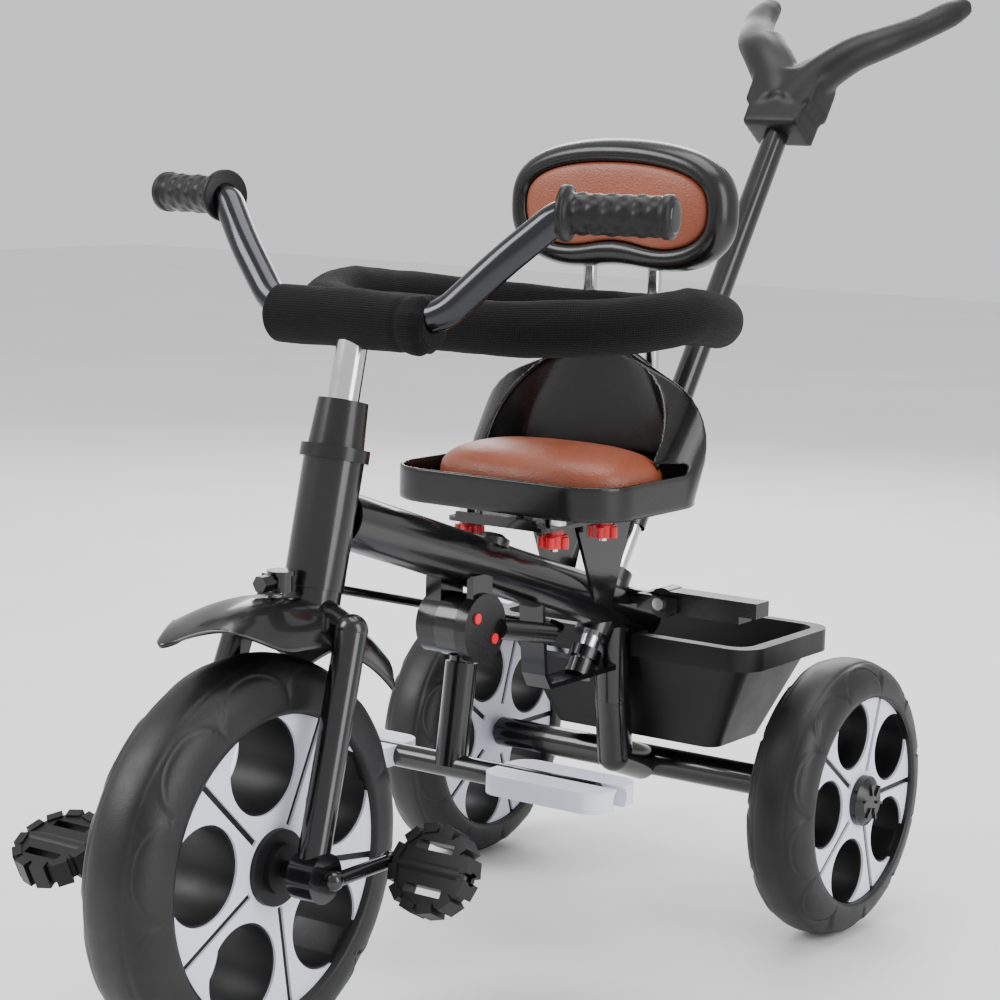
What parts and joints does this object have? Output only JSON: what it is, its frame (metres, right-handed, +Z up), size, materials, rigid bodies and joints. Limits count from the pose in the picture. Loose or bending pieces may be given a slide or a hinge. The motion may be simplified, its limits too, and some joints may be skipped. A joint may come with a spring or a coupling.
{
  "type": "children's tricycle",
  "caption": "Child's three-wheeler with pedals on the front wheel, padded seat, guard ring, rear basket, folding footrest and steering push handle.",
  "frame": {"origin": "centre of the bounding box in plan, at the ground under the wheels", "axes": "+Z up, the tricycle faces -Y, its left side is +X"},
  "size_m": [0.4562, 0.9853, 0.7528],
  "materials": {
    "frame_paint": "gloss",
    "black_plastic": "gloss",
    "matt_plastic": "satin",
    "steel": "polished",
    "leather": "satin",
    "knit": "matt knit",
    "foam_tyre": "matt",
    "white_plastic": "satin",
    "red_plastic": "gloss",
    "grip_rubber": "matt",
    "dark_steel": "satin"
  },
  "bodies": {
    "frame": {"main_tube": "frame_paint", "head_tube": "frame_paint", "head_bushes": "matt_plastic", "collars": "black_plastic", "rear_frame": "frame_paint", "rear_axle": "steel", "tube_cap": "black_plastic", "pole_socket": "frame_paint", "pole_bracket": "frame_paint", "seat_bracket": "frame_paint", "seat_base_plate": "frame_paint", "footrest_bracket": "frame_paint", "footrest_barrel": "black_plastic", "backrest_posts": "steel", "backrest_shell": "black_plastic", "backrest_pad": "leather", "guard_ring": "knit", "basket": "matt_plastic", "peg_tube": "frame_paint", "peg_bolts": "steel"},
    "steering": {"fork": "frame_paint", "fender": "black_plastic", "fender_bolt": "black_plastic", "stem": "steel", "stem_sleeve": "black_plastic", "handlebar": "dark_steel", "bar_cover": "knit", "grips": "grip_rubber"},
    "link_rod": {"steering_rod": "dark_steel"},
    "pole_lower": {"steering_crank": "dark_steel", "pole_inner": "steel"},
    "pole_handle": {"pole_upper": "frame_paint", "push_handle": "black_plastic", "handle_screws": "steel"},
    "pole_latch": {"pole_latch": "black_plastic"},
    "front_wheel": {"front_tyre": "foam_tyre", "front_wheel": "matt_plastic", "front_plates": "white_plastic", "crank_axle": "steel"},
    "pedal_left": {"pedal_left": "matt_plastic"},
    "pedal_right": {"pedal_right": "matt_plastic"},
    "rear_wheel_left": {"rear_wheel_left": "foam_tyre", "rear_plates_left": "white_plastic", "rear_cap_left": "black_plastic"},
    "rear_wheel_right": {"rear_wheel_right": "foam_tyre", "rear_plates_right": "white_plastic", "rear_cap_right": "black_plastic"},
    "seat": {"seat_shell": "black_plastic", "seat_pad": "leather", "seat_bolts": "steel"},
    "knob_1": {"seat_knob_1": "red_plastic"},
    "knob_2": {"seat_knob_2": "red_plastic"},
    "knob_3": {"seat_knob_3": "red_plastic"},
    "knob_4": {"seat_knob_4": "red_plastic"},
    "footrest": {"footrest_arm": "frame_paint", "footrest_mats": "white_plastic"},
    "button_1": {"footrest_button_1": "red_plastic"},
    "button_2": {"footrest_button_2": "red_plastic"},
    "peg_left": {"peg_left": "black_plastic"},
    "peg_right": {"peg_right": "black_plastic"}
  },
  "joints": [
    {"name": "steering", "type": "hinge", "parent": "frame", "child": "steering", "pos_m": [0, -0.27681, 0.35], "axis": [0, 0.2284, 0.9736], "range_deg": [-30, 30]},
    {"name": "front_wheel_spin", "type": "hinge", "parent": "steering", "child": "front_wheel", "pos_m": [0, -0.3525, 0.14], "axis": [1, 0, 0], "continuous": true},
    {"name": "pedal_left_spin", "type": "hinge", "parent": "front_wheel", "child": "pedal_left", "pos_m": [0.113, -0.2925, 0.14], "axis": [1, 0, 0], "continuous": true},
    {"name": "pedal_right_spin", "type": "hinge", "parent": "front_wheel", "child": "pedal_right", "pos_m": [-0.113, -0.4125, 0.14], "axis": [1, 0, 0], "continuous": true},
    {"name": "rear_left_spin", "type": "hinge", "parent": "frame", "child": "rear_wheel_left", "pos_m": [0.176, 0.1565, 0.11], "axis": [1, 0, 0], "continuous": true},
    {"name": "rear_right_spin", "type": "hinge", "parent": "frame", "child": "rear_wheel_right", "pos_m": [-0.176, 0.1565, 0.11], "axis": [1, 0, 0], "continuous": true},
    {"name": "rod_turn", "type": "hinge", "parent": "steering", "child": "link_rod", "pos_m": [-0.038, -0.28451, 0.31816], "axis": [0, 0.2284, 0.9736], "range_deg": [-30, 30]},
    {"name": "pole_turn", "type": "hinge", "parent": "frame", "child": "pole_lower", "pos_m": [0, 0.0545, 0.211], "axis": [0, 0.5592, 0.829], "range_deg": [-30, 30]},
    {"name": "pole_extend", "type": "slide", "parent": "pole_lower", "child": "pole_handle", "axis": [0, 0.5592, 0.829], "range_m": [-0.03, 0.08]},
    {"name": "pole_latch_press", "type": "slide", "parent": "pole_handle", "child": "pole_latch", "axis": [0, 0.829, -0.5592], "range_m": [0, 0.0017], "stiffness_N_per_m": 400},
    {"name": "seat_slide", "type": "slide", "parent": "frame", "child": "seat", "axis": [0, 1, 0], "range_m": [-0.008, 0.008]},
    {"name": "footrest_fold", "type": "hinge", "parent": "frame", "child": "footrest", "pos_m": [0, -0.1105, 0.264], "axis": [1, 0, 0], "range_deg": [0, 45]},
    {"name": "footrest_button_1_press", "type": "slide", "parent": "frame", "child": "button_1", "axis": [-1, 0, 0], "range_m": [0, 0.0015], "stiffness_N_per_m": 400},
    {"name": "footrest_button_2_press", "type": "slide", "parent": "frame", "child": "button_2", "axis": [-1, 0, 0], "range_m": [0, 0.0015], "stiffness_N_per_m": 400},
    {"name": "peg_left_fold", "type": "hinge", "parent": "frame", "child": "peg_left", "pos_m": [0.052, 0.0965, 0.259], "axis": [0, -1, 0], "range_deg": [0, 75]},
    {"name": "peg_right_fold", "type": "hinge", "parent": "frame", "child": "peg_right", "pos_m": [-0.052, 0.0965, 0.259], "axis": [0, 1, 0], "range_deg": [0, 75]},
    {"name": "knob_1_turn", "type": "hinge", "parent": "seat", "child": "knob_1", "pos_m": [0.0385, -0.049, 0.325], "axis": [0, 0, 1], "continuous": true},
    {"name": "knob_2_turn", "type": "hinge", "parent": "seat", "child": "knob_2", "pos_m": [-0.0385, -0.049, 0.325], "axis": [0, 0, 1], "continuous": true},
    {"name": "knob_3_turn", "type": "hinge", "parent": "seat", "child": "knob_3", "pos_m": [0.0385, 0.018, 0.325], "axis": [0, 0, 1], "continuous": true},
    {"name": "knob_4_turn", "type": "hinge", "parent": "seat", "child": "knob_4", "pos_m": [-0.0385, 0.018, 0.325], "axis": [0, 0, 1], "continuous": true}
  ],
  "couplings": [
    {"joint": "rod_turn", "follows": "steering", "ratio": -1},
    {"joint": "pole_turn", "follows": "steering", "ratio": 1}
  ]
}
